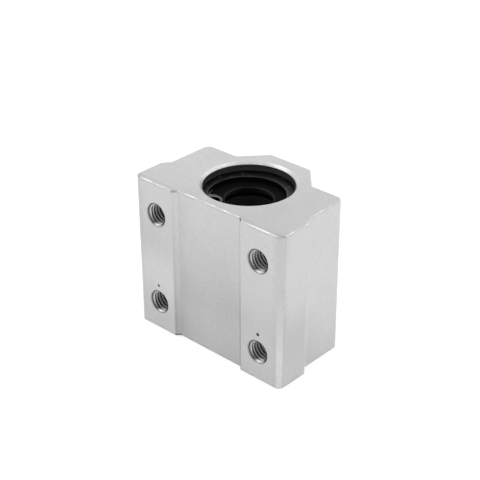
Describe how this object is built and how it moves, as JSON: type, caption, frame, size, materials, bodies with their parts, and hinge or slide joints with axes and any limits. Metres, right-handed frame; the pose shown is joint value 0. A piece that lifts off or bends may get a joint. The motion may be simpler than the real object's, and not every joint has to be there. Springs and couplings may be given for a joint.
{
  "type": "linear bearing block",
  "caption": "Flanged aluminium block with a recirculating ball bearing held by circlips in its bore, and tapped holes in its mounting face.",
  "frame": {"origin": "on the bore axis at the lower end face, on which the block stands", "axes": "+Z along the bore axis, upwards; +Y from the mounting face towards the humped back; +X across the flanges"},
  "size_m": [0.04, 0.026, 0.035],
  "materials": {
    "aluminium": "satin",
    "spring_steel": "satin",
    "bearing_steel": "polished",
    "rubber": "matte",
    "cage_resin": "satin"
  },
  "bodies": {
    "root": {"housing": "aluminium", "circlip_top": "spring_steel", "circlip_bottom": "spring_steel", "bearing_sleeve": "bearing_steel", "ball_cage": "cage_resin", "seal_top": "rubber", "seal_bottom": "rubber", "ball_circuit_1": "bearing_steel", "ball_circuit_2": "bearing_steel", "ball_circuit_3": "bearing_steel", "ball_circuit_4": "bearing_steel"}
  },
  "joints": []
}
